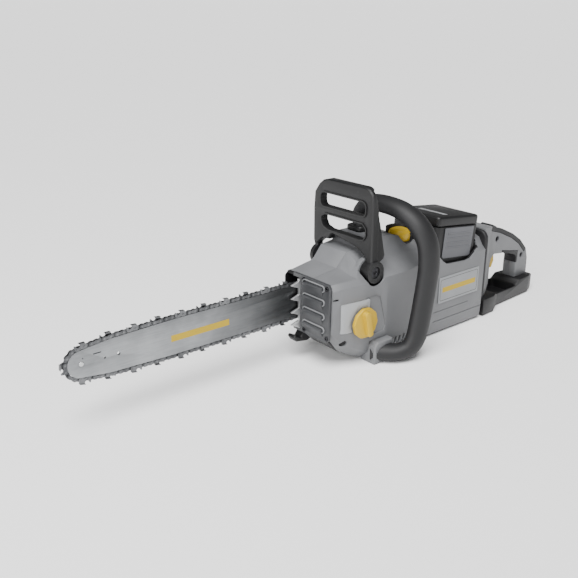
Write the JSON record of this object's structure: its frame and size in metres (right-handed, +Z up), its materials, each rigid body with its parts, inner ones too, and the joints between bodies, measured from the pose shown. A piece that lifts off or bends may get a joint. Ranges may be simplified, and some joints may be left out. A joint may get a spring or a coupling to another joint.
{
  "type": "battery chainsaw",
  "caption": "Battery chainsaw with guide bar and saw chain, spiked bumper, hinged hand guard, loop front handle, lift-out battery and closed rear handle.",
  "frame": {"origin": "middle of the bounding box in X and Y, at the plane that the saw stands on", "axes": "+X towards the bar tip, +Y to the operator's left, +Z up"},
  "size_m": [0.8604, 0.1706, 0.248],
  "materials": {
    "housing_grey": "fine satin moulded texture",
    "plate_grey": "satin powder coat",
    "black_plastic": "fine moulded grain",
    "soft_black": "soft matt overmould",
    "battery_grey": "fine moulded grain",
    "panel_grey": "fine moulded grain",
    "yellow": "satin gloss",
    "bar_steel": "ground lengthwise",
    "chain_steel": "oiled",
    "bright_steel": "bright zinc",
    "dark_steel": "black oxide",
    "motor_alloy": "cast",
    "tank_plastic": "translucent, satin",
    "inner_plastic": "matt",
    "cell_wrap": "heat-shrink wrap",
    "label_film": "satin film"
  },
  "bodies": {
    "saw": {"left_housing": "housing_grey", "right_housing": "housing_grey", "handle_clamp": "housing_grey", "rear_handle_left": "housing_grey", "rear_handle_right": "housing_grey", "bumper_plate": "plate_grey", "base_cover": "black_plastic", "chain_catcher": "black_plastic", "sprocket_cover": "black_plastic", "battery_bay": "black_plastic", "release_bezel": "black_plastic", "rear_guard": "black_plastic", "handle_foot": "black_plastic", "trigger_switch": "black_plastic", "front_handle": "soft_black", "grip_overmould": "soft_black", "grip_pad": "soft_black", "rear_seal": "soft_black", "guide_bar": "bar_steel", "saw_chain": "chain_steel", "nose_rivet": "chain_steel", "brake_band": "chain_steel", "shaft_bearing": "chain_steel", "tension_pin": "chain_steel", "spike_bar": "bright_steel", "bar_stud_1": "bright_steel", "bar_stud_2": "bright_steel", "plate_screw_1": "dark_steel", "plate_screw_2": "dark_steel", "plate_screw_3": "dark_steel", "plate_screw_4": "dark_steel", "bar_nut_1": "dark_steel", "bar_nut_2": "dark_steel", "guard_bolt_left": "dark_steel", "guard_bolt_right": "dark_steel", "handle_screw_1": "dark_steel", "handle_screw_2": "dark_steel", "side_screw": "dark_steel", "motor_case": "motor_alloy", "oil_tank": "tank_plastic", "oil_window": "tank_plastic", "oil_pump": "inner_plastic", "controller": "inner_plastic", "battery_terminals": "inner_plastic", "label_plate": "label_film"},
    "guard": {"hand_guard": "black_plastic"},
    "cap": {"oil_cap": "yellow"},
    "battery": {"battery_case": "battery_grey", "battery_lid": "black_plastic", "battery_panel": "panel_grey", "battery_cells": "cell_wrap"},
    "release": {"release_button": "yellow"},
    "trigger": {"trigger": "yellow"},
    "lockout": {"trigger_lockout": "black_plastic"},
    "drive": {"drive_sprocket": "chain_steel", "brake_drum": "chain_steel", "motor_shaft": "chain_steel", "motor_rotor": "chain_steel"},
    "nose": {"nose_sprocket": "chain_steel"},
    "tensioner": {"tension_screw": "chain_steel"}
  },
  "joints": [
    {"name": "guard_hinge", "type": "hinge", "parent": "saw", "child": "guard", "pos_m": [0.00784, -0.03931, 0.132], "axis": [0, 1, 0], "range_deg": [0, 24]},
    {"name": "cap_turn", "type": "hinge", "parent": "saw", "child": "cap", "pos_m": [0.03084, 0.04069, 0.066], "axis": [0, 1, 0], "range_deg": [0, 120]},
    {"name": "battery_slide", "type": "slide", "parent": "saw", "child": "battery", "axis": [-0.1132, 0, 0.9936], "range_m": [0, 0.06]},
    {"name": "release_press", "type": "slide", "parent": "saw", "child": "release", "axis": [0, 0, -1], "range_m": [0, 0.004], "stiffness_N_per_m": 500, "springref_m": -0.001},
    {"name": "trigger_squeeze", "type": "hinge", "parent": "saw", "child": "trigger", "pos_m": [-0.28816, -0.00931, 0.096], "axis": [0, 1, 0], "range_deg": [0, 12], "stiffness_Nm_per_rad": 0.6, "springref_deg": -5.73},
    {"name": "lockout_press", "type": "hinge", "parent": "saw", "child": "lockout", "pos_m": [-0.29316, -0.00931, 0.13], "axis": [0, -1, 0], "range_deg": [0, 6], "stiffness_Nm_per_rad": 0.4, "springref_deg": -5.73},
    {"name": "drive_spin", "type": "hinge", "parent": "saw", "child": "drive", "pos_m": [0.00784, -0.03931, 0.088], "axis": [0, 1, 0], "continuous": true},
    {"name": "nose_spin", "type": "hinge", "parent": "saw", "child": "nose", "pos_m": [0.40484, -0.03931, 0.088], "axis": [0, 1, 0], "continuous": true},
    {"name": "tension_turn", "type": "hinge", "parent": "saw", "child": "tensioner", "pos_m": [0.05884, -0.02481, 0.102], "axis": [1, 0, 0], "continuous": true}
  ],
  "couplings": [
    {"joint": "nose_spin", "follows": "drive_spin", "ratio": 0.77778}
  ]
}
